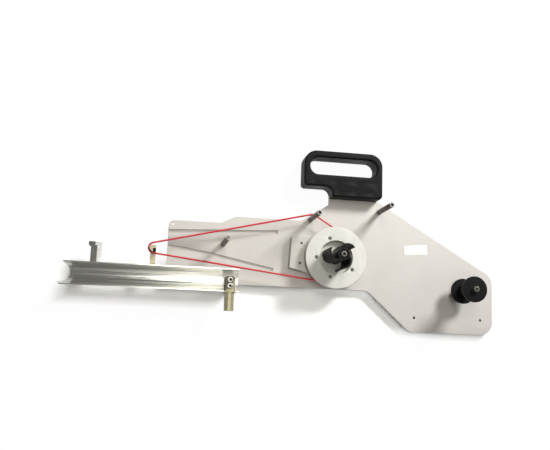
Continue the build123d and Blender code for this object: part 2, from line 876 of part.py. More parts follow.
chute.part.label = "chute"
export_step(chute.part, "parts/chute.step")

with BuildPart() as chute_spacer:
    with BuildSketch(chute_plan):
        with Locations((spacer_left, spacer_low)):
            Rectangle(
                chute_right - spacer_left,
                spacer_high - spacer_low,
                align=(Align.MIN, Align.MIN),
            )
    extrude(amount=chute_lip)
    with BuildSketch(chute_plan):
        with Locations(*[(x, chute_screw_y) for x in chute_screw_x]):
            Circle(m5_radius + press_gap)
    extrude(amount=thread_depth + 1, mode=Mode.SUBTRACT)
    with BuildSketch(across_chute(spacer_left - 1)):
        with Locations((0, chute_lip)):
            Circle(chute_radius + press_gap)
    extrude(amount=chute_right - spacer_left + 2, mode=Mode.SUBTRACT)

chute_spacer.part.label = "chute_spacer"
export_step(chute_spacer.part, "parts/chute_spacer.step")

# ================================================================ leg bracket
leg_foot = Plane(
    origin=(*on_plate((leg_middle, leg_bottom)), 0),
    x_dir=-chute_plan.x_dir,
    z_dir=chute_plan.y_dir,
)
with BuildPart() as leg_bracket:
    with BuildSketch(chute_plan.offset(chute_lip)) as pad:
        with Locations((leg_middle, -chute_radius - leg_ear)):
            Rectangle(
                leg_width,
                leg_top + chute_radius + leg_ear,
                align=(Align.CENTER, Align.MIN),
            )
        fillet(pad.vertices().group_by(Axis.Y)[-1], leg_round)
        with Locations((leg_middle, -chute_radius - leg_ear / 2)):
            Rectangle(leg_width + 2 * leg_ear, 2 * leg_ear)
    extrude(amount=leg_thickness)
    chamfer(leg_bracket.faces().sort_by(Axis.Z)[-1].edges(), leg_edge)
    with BuildSketch(leg_foot):
        with BuildLine():
            Polyline(
                (-leg_foot_width / 2, chute_lip - leg_drop),
                (leg_foot_width / 2, chute_lip - leg_drop),
                (leg_foot_width / 2, leg_front - leg_slope),
                (leg_ridge / 2, leg_front),
                (-leg_ridge / 2, leg_front),
                (-leg_foot_width / 2, leg_front - leg_slope),
                close=True,
            )
        make_face()
    extrude(amount=leg_lower_length)
    with BuildSketch(chute_plan.offset(leg_front)):
        with Locations(*leg_screw_spots):
            Circle(m5_radius + slip_gap)
    extrude(amount=-leg_thickness, mode=Mode.SUBTRACT)

leg_bracket.part.label = "leg_bracket"
export_step(leg_bracket.part, "parts/leg_bracket.step")

leg_block_left = leg_middle - leg_width / 2 + leg_block_inset
leg_block_length = leg_width - 2 * leg_block_inset
with BuildPart() as leg_block:
    with BuildSketch(across_chute(leg_block_left)):
        with Locations((0, chute_lip)):
            Circle(bore_radius - press_gap)
            Rectangle(
                2 * chute_radius,
                chute_radius,
                align=(Align.CENTER, Align.MIN),
                mode=Mode.SUBTRACT,
            )
            with Locations((leg_top - leg_block_inset, 0)):
                Rectangle(
                    chute_radius,
                    3 * chute_radius,
                    align=(Align.MIN, Align.CENTER),
                    mode=Mode.SUBTRACT,
                )
    extrude(amount=leg_block_length)
    with BuildSketch(chute_plan.offset(chute_lip)):
        with Locations(*leg_screw_spots):
            Circle(m5_radius + press_gap)
    extrude(amount=-(leg_screw_length - leg_thickness + 1), mode=Mode.SUBTRACT)

leg_block.part.label = "leg_block"
export_step(leg_block.part, "parts/leg_block.step")

with BuildPart() as leg_screws:
    with Locations(chute_plan.offset(leg_front)):
        with Locations(*leg_screw_spots):
            add(cap_screw(m5_head_radius, m5_head_height, m5_radius, leg_screw_length))

leg_screws.part.label = "leg_screws"
export_step(leg_screws.part, "parts/leg_screws.step")

# ================================================================ hooks on the chute
def saddle_bar(outline, low, front):
    """Upright bar in the chute's plan, hollowed to sit on the chute's wall."""
    spots = [spot[0] for spot in outline]
    with BuildPart() as bar:
        with BuildSketch(chute_plan.offset(low)):
            with BuildLine():
                Polyline(*outline, close=True)
            make_face()
        extrude(amount=front - low)
        with BuildSketch(across_chute(min(spots) - 1)):
            with Locations((0, chute_lip)):
                Circle(chute_radius + press_gap)
        extrude(amount=max(spots) - min(spots) + 2, mode=Mode.SUBTRACT)
    return bar.part


arm_left = middle_arm_x - middle_arm_width / 2
arm_right = middle_arm_x + middle_arm_width / 2
peg_radius = loop_radius - belt_radius - slip_gap
peg_right = loop_at[0] + peg_reach
peg_low = loop_at[1] - peg_drop
peg_top = loop_at[1] + peg_rise
arm_top = peg_top - chute_at[1] - press_gap
with BuildPart() as middle_hook:
    add(
        saddle_bar(
            ((arm_left, 0), (arm_right, 0), (arm_right, arm_top), (arm_left, arm_top)),
            arm_low,
            arm_front,
        )
    )
    with BuildSketch(chute_plan.offset(arm_front)):
        with Locations(*[(middle_arm_x, y) for y in arm_groove_y]):
            Rectangle(middle_arm_width + 2, arm_groove_width)
    extrude(amount=-arm_groove_depth, mode=Mode.SUBTRACT)
    with BuildSketch(Plane.XY.offset(arm_front - 1)):
        with Locations(loop_at):
            Circle(peg_radius)
        with Locations((peg_right, peg_low)):
            Rectangle(
                3 * peg_radius,
                peg_top - peg_low,
                align=(Align.MAX, Align.MIN),
                mode=Mode.INTERSECT,
            )
    extrude(amount=hook_front - arm_front + 1)
    with BuildSketch(Plane.XY.offset(arm_front)):
        with Locations((peg_right, peg_low)):
            Rectangle(stop_width, stop_rise + stop_height, align=(Align.MAX, Align.MIN))
    extrude(amount=hook_front - arm_front, mode=Mode.SUBTRACT)

middle_hook.part.label = "middle_hook"
export_step(middle_hook.part, "parts/middle_hook.step")

with BuildPart() as belt_stop:
    with BuildSketch(Plane.XY.offset(arm_front + press_gap)):
        with Locations((peg_right, peg_low + stop_rise)):
            Rectangle(stop_width - press_gap, stop_height - press_gap, align=(Align.MAX, Align.MIN))
    extrude(amount=hook_front - arm_front)
    chamfer(belt_stop.faces().sort_by(Axis.Z)[-1].edges(), 0.3)

belt_stop.part.label = "belt_stop"
export_step(belt_stop.part, "parts/belt_stop.step")

hook_left = left_arm_x - left_arm_width / 2
hook_right = left_arm_x + left_arm_width / 2
head_left = hook_left - left_head_shift
head_right = hook_right - left_shoulder_width
head_low = left_hook_top - left_head_height
shoulder = left_hook_top - left_shoulder_drop
with BuildPart() as left_hook:
    add(
        saddle_bar(
            (
                (hook_left, 0),
                (hook_right, 0),
                (hook_right, shoulder),
                (head_right, shoulder),
                (head_right, left_hook_top),
                (head_left, left_hook_top),
                (head_left, head_low),
                (hook_left, head_low - left_head_slant),
            ),
            arm_low,
            left_hook_front,
        )
    )
    chamfer(left_hook.faces().sort_by(Axis.Z)[-1].edges(), 0.4)

left_hook.part.label = "left_hook"
export_step(left_hook.part, "parts/left_hook.step")

light_right = hook_right + light_bar_width
with BuildPart() as left_light_bar:
    add(
        saddle_bar(
            (
                (hook_right + press_gap, 0),
                (light_right, 0),
                (light_right, left_hook_top - light_bar_gap),
                (head_right + press_gap, left_hook_top - light_bar_gap),
                (head_right + press_gap, shoulder + press_gap),
                (hook_right + press_gap, shoulder + press_gap),
            ),
            arm_low,
            left_hook_front,
        )
    )
    chamfer(left_light_bar.faces().sort_by(Axis.Z)[-1].edges(), 0.4)

left_light_bar.part.label = "left_light_bar"
export_step(left_light_bar.part, "parts/left_light_bar.step")
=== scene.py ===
import json
from math import cos, hypot, pi, radians, sin

import bmesh
import bpy
from mathutils import Matrix, Vector


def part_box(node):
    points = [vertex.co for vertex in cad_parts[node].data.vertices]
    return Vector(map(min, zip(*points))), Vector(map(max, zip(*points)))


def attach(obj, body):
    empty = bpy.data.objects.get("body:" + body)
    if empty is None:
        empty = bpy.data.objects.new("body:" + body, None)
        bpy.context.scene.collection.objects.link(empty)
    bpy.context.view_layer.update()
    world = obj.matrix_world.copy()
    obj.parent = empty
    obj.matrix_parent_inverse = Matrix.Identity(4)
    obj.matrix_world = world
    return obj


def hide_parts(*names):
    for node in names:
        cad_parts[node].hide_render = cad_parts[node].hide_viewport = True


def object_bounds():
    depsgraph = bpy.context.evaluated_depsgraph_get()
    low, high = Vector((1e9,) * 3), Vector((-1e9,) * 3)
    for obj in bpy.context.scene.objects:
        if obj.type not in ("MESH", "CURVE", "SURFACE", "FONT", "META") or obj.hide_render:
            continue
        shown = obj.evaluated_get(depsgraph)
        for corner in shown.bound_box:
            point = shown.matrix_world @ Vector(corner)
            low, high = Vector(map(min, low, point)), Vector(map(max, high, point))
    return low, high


bl_info = {
    "name": "Strap Cutter Side Plate",
    "version": (1, 0, 0),
    "blender": (4, 5, 0),
    "location": "View3D > Sidebar > Strap Cutter",
    "description": "Dresses the reel side plate of a strap cutter and sets its studio",
    "category": "Object",
}

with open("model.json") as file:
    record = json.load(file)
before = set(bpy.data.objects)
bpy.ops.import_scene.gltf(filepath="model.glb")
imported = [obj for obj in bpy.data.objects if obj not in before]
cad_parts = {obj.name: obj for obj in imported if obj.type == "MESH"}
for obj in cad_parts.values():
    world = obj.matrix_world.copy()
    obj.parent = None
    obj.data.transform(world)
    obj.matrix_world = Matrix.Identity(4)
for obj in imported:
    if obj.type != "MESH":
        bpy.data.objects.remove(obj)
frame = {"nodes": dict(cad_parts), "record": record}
CAD_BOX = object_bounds()
RECORD = frame["record"]
BODY_OF = {node: body for body, nodes in RECORD["behaviour"]["bodies"].items() for node in nodes}
JOINT_AT = {joint["name"]: Vector(joint["pos_m"]) for joint in RECORD["behaviour"]["joints"]}
MM = 0.001
SMOOTH_ANGLE = radians(35)      # faces that meet at less than this shade as one
BEVEL_ANGLE = radians(32)       # edges sharper than this are rounded
WAVE_TURN = 2 * pi / 20         # a wave texture repeats at this length, at a scale of 1
SOCKET_REACH = 2.4 * MM         # how far a screw's hexagon socket reaches from its axis
SOCKET_DEPTH = 3.5 * MM


# ------------------------------------------------------------------ colours and nodes
def linear(code):
    """sRGB hex such as "#C8202C" as a linear colour with alpha."""
    parts = [int(code[i:i + 2], 16) / 255 for i in (1, 3, 5)]
    return [c / 12.92 if c <= 0.04045 else ((c + 0.055) / 1.055) ** 2.4 for c in parts] + [1.0]


def shade_of(colour, share):
    """The same colour, darker or lighter by a share."""
    return [min(1.0, channel * share) for channel in colour[:3]] + [1.0]


def add_node(tree, kind, settings=None, values=None, links=None):
    """A node with its own settings, its sockets' values and what feeds its sockets."""
    node = tree.nodes.new(kind)
    for name, value in (settings or {}).items():
        setattr(node, name, value)
    for name, value in (values or {}).items():
        node.inputs[name].default_value = value
    for name, source in (links or {}).items():
        tree.links.new(source, node.inputs[name])
    return node


# ------------------------------------------------------------------ working on a piece
def deselect():
    """Object mode with nothing selected."""
    if bpy.context.object and bpy.context.object.mode != "OBJECT":
        bpy.ops.object.mode_set(mode="OBJECT")
    bpy.ops.object.select_all(action="DESELECT")


def activate(piece):
    """Only this piece selected and active."""
    deselect()
    piece.select_set(True)
    bpy.context.view_layer.objects.active = piece


def pick(piece, faces=None, edges=None):
    """In edit mode, only the faces or edges that pass a test are selected."""
    bpy.ops.mesh.select_all(action="DESELECT")
    bpy.ops.mesh.select_mode(type="FACE" if faces else "EDGE")
    mesh = bmesh.from_edit_mesh(piece.data)
    for part, test in ((mesh.faces, faces), (mesh.edges, edges)):
        if test:
            for element in part:
                if test(element):
                    element.select_set(True)
    bmesh.update_edit_mesh(piece.data)


def settle(piece):
    """The piece's place goes into its mesh and its faces point outwards."""
    activate(piece)
    bpy.ops.object.transform_apply(location=True, rotation=True, scale=True)
    bpy.ops.object.mode_set(mode="EDIT")
    bpy.ops.mesh.select_all(action="SELECT")
    bpy.ops.mesh.remove_doubles(threshold=0.001 * MM)
    bpy.ops.mesh.normals_make_consistent(inside=False)
    bpy.ops.object.mode_set(mode="OBJECT")


def break_edges(piece, width):
    """Sharp edges get a small rounding that catches the light, and faces beside it stay flat."""
    activate(piece)
    bpy.ops.object.modifier_add(type="BEVEL")
    bevel = piece.modifiers[-1]
    bevel.width = width
    bevel.segments = 2
    bevel.limit_method = "ANGLE"
    bevel.angle_limit = BEVEL_ANGLE
    bevel.harden_normals = True
    bpy.ops.object.shade_smooth_by_angle(angle=SMOOTH_ANGLE)
    bpy.ops.object.modifier_apply(modifier=bevel.name)


def face_finish(piece, material, test):
    """The faces that pass a test get a finish of their own."""
    piece.data.materials.append(material)
    for face in piece.data.polygons:
        if test(face):
            face.material_index = len(piece.data.materials) - 1


def paint_socket_shade(piece, material):
    """Inside the sockets of upright screws a dark finish is painted as shade."""
    piece.data.materials.append(material)
    mesh = bmesh.new()
    mesh.from_mesh(piece.data)
    waiting = set(mesh.faces)
    while waiting:
        screw = [waiting.pop()]
        for face in screw:
            for other in {other for edge in face.edges for other in edge.link_faces} & waiting:
                waiting.remove(other)
                screw.append(other)
        corners = [vert.co for face in screw for vert in face.verts]
        top = max(corner.z for corner in corners)
        middle = [(max(c[axis] for c in corners) + min(c[axis] for c in corners)) / 2 for axis in (0, 1)]
        for face in screw:
            spot = face.calc_center_median()
            inside = hypot(spot.x - middle[0], spot.y - middle[1]) < SOCKET_REACH
            if inside and top - SOCKET_DEPTH < spot.z < top - 0.2 * MM:
                face.material_index = len(piece.data.materials) - 1
    mesh.to_mesh(piece.data)
    mesh.free()


def finished(piece, name, body, material):
    """Name, material, body and material slot of a finished piece."""
    piece.name = name
    piece.data.name = name
    piece.data.materials.clear()
    piece.data.materials.append(material)
    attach(piece, body)


def dress(node, material, edge):
    """A CAD node's shape with its triangles joined and its edges broken, in the node's place."""
    deselect()
    source = frame["nodes"].get(node)
    if source is None:
        raise RuntimeError("the frame has no node " + node)
    piece = bpy.data.objects.new(node + "_finished", source.data.copy())
    bpy.context.scene.collection.objects.link(piece)
    activate(piece)
    bpy.ops.object.mode_set(mode="EDIT")
    bpy.ops.mesh.select_all(action="SELECT")
    bpy.ops.mesh.remove_doubles(threshold=0.002 * MM)
    bpy.ops.mesh.dissolve_limited(angle_limit=radians(0.5))
    bpy.ops.object.mode_set(mode="OBJECT")
    break_edges(piece, edge)
    finished(piece, node + "_finished", BODY_OF[node], material)
    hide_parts(node)
    return piece


# ------------------------------------------------------------------ patterns
def fresh(name):
    """An empty material with its shader on its output, and the piece's own coordinates."""
    material = bpy.data.materials.new(name)
    material.use_nodes = True
    tree = material.node_tree
    tree.nodes.clear()
    shader = add_node(tree, "ShaderNodeBsdfPrincipled")
    add_node(tree, "ShaderNodeOutputMaterial", links={"Surface": shader.outputs["BSDF"]})
    place = add_node(tree, "ShaderNodeTexCoord").outputs["Object"]
    return material, tree, shader, place


def speckle(tree, place, size_mm, most=1.0, stretch=(1, 1, 1), detail=3.0):
    """Values from 0 to a most in soft blobs of a size in millimetres, drawn out by a stretch."""
    spread = add_node(
        tree,
        "ShaderNodeMapping",
        values={"Scale": [1 / share for share in stretch]},
        links={"Vector": place},
    )
    blobs = add_node(
        tree,
        "ShaderNodeTexNoise",
        values={"Scale": 1 / (size_mm * MM), "Detail": detail},
        links={"Vector": spread.outputs["Vector"]},
    )
    # Most of a noise lies between 0.3 and 0.7, so that span is drawn out to the full one.
    span = add_node(
        tree,
        "ShaderNodeMapRange",
        values={"From Min": 0.3, "From Max": 0.7, "To Min": 0.0, "To Max": most},
        links={"Value": blobs.outputs["Fac"]},
    )
    return span.outputs["Result"]


def turning_marks(tree, place, pitch_mm, centre=(0, 0, 0), along=False):
    """Tool marks of a lathe: rings round an upright axis, or bands along it."""
    centred = add_node(
        tree,
        "ShaderNodeMapping",
        values={"Location": [-part for part in centre]},
        links={"Vector": place},
    )
    marks = add_node(
        tree,
        "ShaderNodeTexWave",
        {
            "wave_type": "BANDS" if along else "RINGS",
            "bands_direction": "Z",
            "rings_direction": "Z",
        },
        {"Scale": WAVE_TURN / (pitch_mm * MM), "Distortion": 0.6, "Detail": 2.0},
        {"Vector": centred.outputs["Vector"]},
    )
    return marks.outputs["Fac"]


def coat(tree, shader, tone, colours, sheen, roughness, height, depth_mm):
    """Colour, roughness and real depth of a finish, each led by a pattern."""
    first, second = colours
    low, high = roughness
    mix = add_node(tree, "ShaderNodeMix", {"data_type": "RGBA"}, {6: first, 7: second}, {0: tone})
    gloss = add_node(
        tree, "ShaderNodeMath", {"operation": "MULTIPLY_ADD"}, {1: high - low, 2: low}, {0: sheen}
    )
    bump = add_node(
        tree,
        "ShaderNodeBump",
        values={"Strength": 1.0, "Distance": depth_mm * MM},
        links={"Height": height},
    )
    tree.links.new(mix.outputs[2], shader.inputs["Base Color"])
    tree.links.new(gloss.outputs["Value"], shader.inputs["Roughness"])
    tree.links.new(bump.outputs["Normal"], shader.inputs["Normal"])


# ------------------------------------------------------------------ finishes
def blasted_aluminium(name, colour):
    """Anodised aluminium plate, bead-blasted before: a fine matt grain, faint handling marks."""
    material, tree, shader, place = fresh(name)
    # Broad patches of anodising and long, thin rub marks change the tone by up to a tenth.
    patches = speckle(tree, place, 55, 0.6, detail=5.0)
    rubs = speckle(tree, place, 3.0, 0.4, (14, 1, 1))
    marks = add_node(tree, "ShaderNodeMath", {"operation": "ADD"}, links={0: patches, 1: rubs})
    # Blasting grit is about 0.1 mm and is drawn at 0.6 mm, as coarse as it needs to show.
    grit = speckle(tree, place, 0.6, detail=2.0)
    tones = (shade_of(colour, 1.03), shade_of(colour, 0.93))
    coat(tree, shader, marks.outputs["Value"], tones, grit, (0.44, 0.56), grit, 0.0024)
    shader.inputs["Metallic"].default_value = 0.25
    return material


def milled_aluminium(name, colour):
    """Milled and lightly deburred aluminium: cutter lanes side by side, a little shinier than the plate."""
    material, tree, shader, place = fresh(name)
    # The cutter leaves a lane every 1.5 mm.
    lanes = speckle(tree, place, 1.5, stretch=(30, 1, 6), detail=2.0)
    tones = (shade_of(colour, 1.02), shade_of(colour, 0.94))
    coat(tree, shader, lanes, tones, lanes, (0.38, 0.48), lanes, 0.01)
    shader.inputs["Metallic"].default_value = 0.3
    return material


def moulded_nylon(name, colour):
    """Glass-filled nylon from a spark-eroded mould: a dull, pebbled black."""
    material, tree, shader, place = fresh(name)
    # The mould's pebbles are 0.7 mm, rubbed smoother in broad patches by hands.
    pebbles = speckle(tree, place, 0.7, detail=1.5)
    rubbed = speckle(tree, place, 25)
    coat(tree, shader, pebbles, (colour, shade_of(colour, 1.5)), rubbed, (0.42, 0.6), pebbles, 0.03)
    shader.inputs["IOR"].default_value = 1.5
    shader.inputs["Specular IOR Level"].default_value = 0.15
    return material


def turned_plastic(name, colour, pitch_mm, centre=(0, 0, 0), specular=0.2):
    """Acetal turned on a lathe: satin, with fine rings round its axis."""
    material, tree, shader, place = fresh(name)
    # Feed marks are 0.1 to 0.2 mm apart and are drawn coarser, so that they show.
    rings = turning_marks(tree, place, pitch_mm, centre)
    clouds = speckle(tree, place, 18, detail=4.0)
    tones = (shade_of(colour, 1.02), shade_of(colour, 0.95))
    coat(tree, shader, clouds, tones, rings, (0.4, 0.5), rings, 0.006)
    shader.inputs["IOR"].default_value = 1.48
    shader.inputs["Specular IOR Level"].default_value = specular
    return material


def oiled_steel(name, colour):
    """Ground steel bar with a film of oil: dark, with thin rings and dull, cloudy patches."""
    material, tree, shader, place = fresh(name)
    # Grinding leaves bands about 0.8 mm apart along the bar.
    bands = turning_marks(tree, place, 0.8, along=True)
    film = speckle(tree, place, 7, detail=4.0)
    # Bands matter a little over half as much as the film to how rough the bar looks.
    both = add_node(tree, "ShaderNodeMath", {"operation": "MULTIPLY_ADD"}, {1: 0.6}, {0: bands, 2: film})
    tones = (colour, shade_of(colour, 0.75))
    coat(tree, shader, film, tones, both.outputs["Value"], (0.3, 0.4), bands, 0.004)
    shader.inputs["Metallic"].default_value = 0.85
    return material


def plated_steel(name, colour, metallic=1.0, roughness=0.3):
    """Plated or blackened steel, and the lighter steel of the post ends, which is a painted highlight: an
    even coat with a slightly cloudy shine.
    """
    material, tree, shader, place = fresh(name)
    clouds = speckle(tree, place, 1.6)
    tones = (colour, shade_of(colour, 0.8))
    coat(tree, shader, clouds, tones, clouds, (roughness - 0.04, roughness + 0.06), clouds, 0.006)
    shader.inputs["Metallic"].default_value = metallic
    return material


def sintered_bronze(name, colour):
    """Oil-filled sintered bronze: a dull, open-pored yellow-brown."""
    material, tree, shader, place = fresh(name)
    # Pores are about 0.3 mm here, coarser than the real 0.05 mm, so that they show.
    pores = speckle(tree, place, 0.3, detail=1.0)
    coat(tree, shader, pores, (shade_of(colour, 0.7), colour), pores, (0.5, 0.38), pores, 0.02)
    shader.inputs["Metallic"].default_value = 0.9
    return material


def drawn_stainless(name, colour):
    """Stainless tube, drawn and buffed lengthwise: long fine lines that smear the light across it."""
    material, tree, shader, place = fresh(name)
    # Draw lines run along the tube; they are 0.3 mm wide here and as long as a hand.
    lines = speckle(tree, place, 0.3, stretch=(400, 1, 1), detail=2.0)
    scuffs = speckle(tree, place, 3, stretch=(30, 1, 1))
    # The lines add 0.08 to a roughness that the scuffs change by 0.14.
    both = add_node(
        tree, "ShaderNodeMath", {"operation": "MULTIPLY_ADD"}, {1: 0.08 / 0.14}, {0: lines, 2: scuffs}
    )
    tones = (shade_of(colour, 1.1), shade_of(colour, 0.72))
    coat(tree, shader, scuffs, tones, both.outputs["Value"], (0.22, 0.36), lines, 0.004)
    # The lines spread a reflection round the tube and hardly along it.
    round_it = add_node(tree, "ShaderNodeTangent", {"direction_type": "RADIAL", "axis": "X"})
    tree.links.new(round_it.outputs["Tangent"], shader.inputs["Tangent"])
    shader.inputs["Anisotropic"].default_value = 0.95
    shader.inputs["Metallic"].default_value = 1.0
    return material


def passivated_steel(name, colour, metallic=0.5):
    """Zinc-plated steel with a coloured passivation: dull and cloudy, with paler patches."""
    material, tree, shader, place = fresh(name)
    clouds = speckle(tree, place, 5, detail=5.0)
    grain = speckle(tree, place, 0.5)
    tones = (shade_of(colour, 1.1), shade_of(colour, 0.85))
    coat(tree, shader, clouds, tones, grain, (0.36, 0.46), grain, 0.003)
    shader.inputs["Metallic"].default_value = metallic
    return material


def cast_urethane(name, colour):
    """Red urethane round belt: smooth and faintly waxy, with duller, darker patches."""
    material, tree, shader, place = fresh(name)
    worn = speckle(tree, place, 6)
    coat(tree, shader, worn, (colour, shade_of(colour, 0.85)), worn, (0.3, 0.42), worn, 0.02)
    shader.inputs["IOR"].default_value = 1.5
    return material


def polyester_film(name, colour):
    """Blank polyester label, its white face lightly matted."""
    material, tree, shader, place = fresh(name)
    fibres = speckle(tree, place, 0.8)
    coat(tree, shader, fibres, (colour, shade_of(colour, 0.97)), fibres, (0.32, 0.4), fibres, 0.004)
    return material


# ------------------------------------------------------------------ settings
def colour_setting(name, description, code):
    """A colour that a user would change, with its default from a hex code."""
    return bpy.props.FloatVectorProperty(
        name=name,
        description=description,
        subtype="COLOR",
        size=4,
        min=0.0,
        max=1.0,
        default=linear(code),
    )


class STRAP_PG_sizes(bpy.types.PropertyGroup):
    """Sizes of what is added to the machined shapes."""

    plate_edge: bpy.props.FloatProperty(
        name="Plate edges",
        description="Rounding of the plate's and brackets' edges",
        default=0.25 * MM,
        min=0.05 * MM,
        subtype="DISTANCE",
        unit="LENGTH",
    )
    disc_edge: bpy.props.FloatProperty(
        name="Disc edges",
        description="Rounding of the reel disc's edges",
        default=0.5 * MM,
        min=0.05 * MM,
        subtype="DISTANCE",
        unit="LENGTH",
    )
    small_edge: bpy.props.FloatProperty(
        name="Small edges",
        description="Rounding of the edges of screws, washers and jaws",
        default=0.15 * MM,
        min=0.02 * MM,
        subtype="DISTANCE",
        unit="LENGTH",
    )
    label_length: bpy.props.FloatProperty(
        name="Label length",
        description="Length of the blank label",
        default=37.7 * MM,
        subtype="DISTANCE",
        unit="LENGTH",
    )
    label_width: bpy.props.FloatProperty(
        name="Label width",
        description="Width of the blank label",
        default=15.2 * MM,
        subtype="DISTANCE",
        unit="LENGTH",
    )
    label_corner: bpy.props.FloatProperty(
        name="Label corners",
        description="Radius of the blank label's corners",
        default=1.2 * MM,
        subtype="DISTANCE",
        unit="LENGTH",
    )
    label_thickness: bpy.props.FloatProperty(
        name="Label thickness",
        description="Thickness of the label's film and glue",
        default=0.25 * MM,
        subtype="DISTANCE",
        unit="LENGTH",
    )


class STRAP_PG_colours(bpy.types.PropertyGroup):
    """Colours of the finishes."""

    plate: colour_setting("Plate", "Anodised side plate", "#C6C2BD")
    machined: colour_setting("Machined parts", "Bearing plate, housing and spacers", "#B9B6AF")
    handle: colour_setting("Handle", "Moulded carrying handle", "#08080A")
    black: colour_setting("Claw and spool", "Turned black plastic", "#0A090A")
    disc: colour_setting("Disc", "Reel disc", "#D2D0C9")
    pulley: colour_setting("Pulley", "Belt pulley under the disc", "#C4C2B8")
    bars: colour_setting("Posts", "Ground steel posts, shaft and stud", "#57514D")
    screws: colour_setting("Screws", "Zinc-plated screws", "#A9A7A4")
    disc_screws: colour_setting("Disc screws", "Dull screws in the disc, the claw and the spool", "#77766F")
    # The post ends' lighter colour is a painted highlight on their upward faces.
    post_end_highlight: colour_setting("Post ends", "Post ends, lighter as a painted highlight", "#A5A29E")
    dark_screws: colour_setting("Dark screws", "Blackened screws and washers", "#161617")
    bushes: colour_setting("Bushes", "Bronze bushes", "#A8824A")
    chute: colour_setting("Chute", "Stainless chute", "#E4E3DE")
    leg: colour_setting("Leg", "Leg bracket", "#A39D80")
    peg: colour_setting("Belt hook", "Hook that holds the belt's loop", "#B7AC92")
    dark_hook: colour_setting("Dark hook", "Left hook", "#5E5D5B")
    pale_bar: colour_setting("Pale bar", "Bar beside the left hook", "#DEDCDB")
    belt: colour_setting("Belt", "Drag belt", "#D2202D")
    label: colour_setting("Label", "Blank label", "#F1F0EE")


class STRAP_PG_studio(bpy.types.PropertyGroup):
    """Lamps and room light."""

    key_power: bpy.props.FloatProperty(
        name="Key lamp",
        description="Power of the lamp at the upper right",
        default=34.0,
        subtype="POWER",
        unit="POWER",
    )
    overhead_power: bpy.props.FloatProperty(
        name="Overhead lamp",
        description="Power of the long lamp overhead",
        default=8.8,
        subtype="POWER",
        unit="POWER",
    )
    room_level: bpy.props.FloatProperty(
        name="Room light",
        description="Level of the light from all round",
        default=0.2,
        min=0.0,
        subtype="FACTOR",
    )


class STRAP_PG_settings(bpy.types.PropertyGroup):
    """Everything that the panel shows."""

    sizes: bpy.props.PointerProperty(name="Sizes", description="Sizes", type=STRAP_PG_sizes)
    colours: bpy.props.PointerProperty(name="Colours", description="Colours", type=STRAP_PG_colours)
    studio: bpy.props.PointerProperty(name="Studio", description="Studio", type=STRAP_PG_studio)


# ------------------------------------------------------------------ the pieces
class STRAP_OT_side_plate(bpy.types.Operator):
    """Side plate with its grooves and holes"""

    bl_idname = "strap.side_plate"
    bl_label = "Side plate"

    def execute(self, context):
        ours = context.scene.strap_cutter
        blasted = blasted_aluminium("bead-blasted aluminium", ours.colours.plate)
        dress("side_plate", blasted, ours.sizes.plate_edge)
        return {"FINISHED"}


# The label's middle on the plate, and how far it is turned.
LABEL_AT = (133.5 * MM, 21.0 * MM, 0)
LABEL_TURN = radians(5.1)


class STRAP_OT_label(bpy.types.Operator):
    """Blank label stuck on the plate to the right of the reel"""

    bl_idname = "strap.label"
    bl_label = "Blank label"

    def execute(self, context):
        ours = context.scene.strap_cutter
        sizes = ours.sizes
        deselect()
        bpy.ops.mesh.primitive_plane_add(size=1, location=(0, 0, 0))
        label = context.object
        label.scale = (sizes.label_length, sizes.label_width, 1)
        bpy.ops.object.transform_apply(location=False, rotation=False, scale=True)
        bpy.ops.object.mode_set(mode="EDIT")
        bpy.ops.mesh.select_all(action="SELECT")
        bpy.ops.mesh.extrude_region_move(TRANSFORM_OT_translate={"value": (0, 0, sizes.label_thickness)})
        half = sizes.label_thickness / 2
        pick(label, edges=lambda e: abs(e.verts[0].co.z - e.verts[1].co.z) > half)
        bpy.ops.mesh.bevel(offset=sizes.label_corner, segments=5, affect="EDGES")
        pick(label, faces=lambda f: f.normal.z > 0.9)
        bpy.ops.mesh.inset(thickness=0.1 * MM, depth=0.03 * MM)
        bpy.ops.object.mode_set(mode="OBJECT")
        label.location = LABEL_AT
        label.rotation_euler = (0, 0, LABEL_TURN)
        settle(label)
        bpy.ops.object.shade_smooth_by_angle(angle=SMOOTH_ANGLE)
        film = polyester_film("white polyester film", ours.colours.label)
        finished(label, "blank_label", "frame", film)
        return {"FINISHED"}


class STRAP_OT_handle(bpy.types.Operator):
    """Carrying handle and its seven countersunk screws"""

    bl_idname = "strap.handle"
    bl_label = "Carrying handle"

    def execute(self, context):
        ours = context.scene.strap_cutter
        nylon = moulded_nylon("moulded black nylon", ours.colours.handle)
        dress("carry_handle", nylon, ours.sizes.plate_edge)
        dress(
            "handle_screws",
            plated_steel("blackened steel", ours.colours.dark_screws, 0.6, 0.42),
            ours.sizes.small_edge,
        )
        return {"FINISHED"}


class STRAP_OT_posts(bpy.types.Operator):
    """The three guide posts"""

    bl_idname = "strap.posts"
    bl_label = "Guide posts"

    def execute(self, context):
        ours = context.scene.strap_cutter
        steel = oiled_steel("oiled ground steel", ours.colours.bars)
        post_end_highlight = plated_steel("steel with painted highlight", ours.colours.post_end_highlight, 0.6, 0.5)
        for side in ("left", "middle", "right"):
            post = dress("guide_post_" + side, steel, ours.sizes.small_edge)
            top = max(corner[2] for corner in post.bound_box)
            end = top - 1.0 * MM
            # Each post's flat top gets the lighter steel, a painted highlight where the end catches the
            # light.
            face_finish(post, post_end_highlight, lambda face: face.normal.z > 0.3 and face.center.z > end)
        return {"FINISHED"}


class STRAP_OT_bearing(bpy.types.Operator):
    """Bearing plate, housing, bushes and their screws"""

    bl_idname = "strap.bearing"
    bl_label = "Reel bearing"

    def execute(self, context):
        ours = context.scene.strap_cutter
        milled = milled_aluminium("milled aluminium", ours.colours.machined)
        dress("bearing_plate", milled, ours.sizes.plate_edge)
        dress("bearing_housing", milled, ours.sizes.plate_edge)
        dress("hub_bushes", sintered_bronze("sintered bronze", ours.colours.bushes), ours.sizes.small_edge)
        dress("housing_screws", bpy.data.materials["blackened steel"], ours.sizes.small_edge)
        return {"FINISHED"}


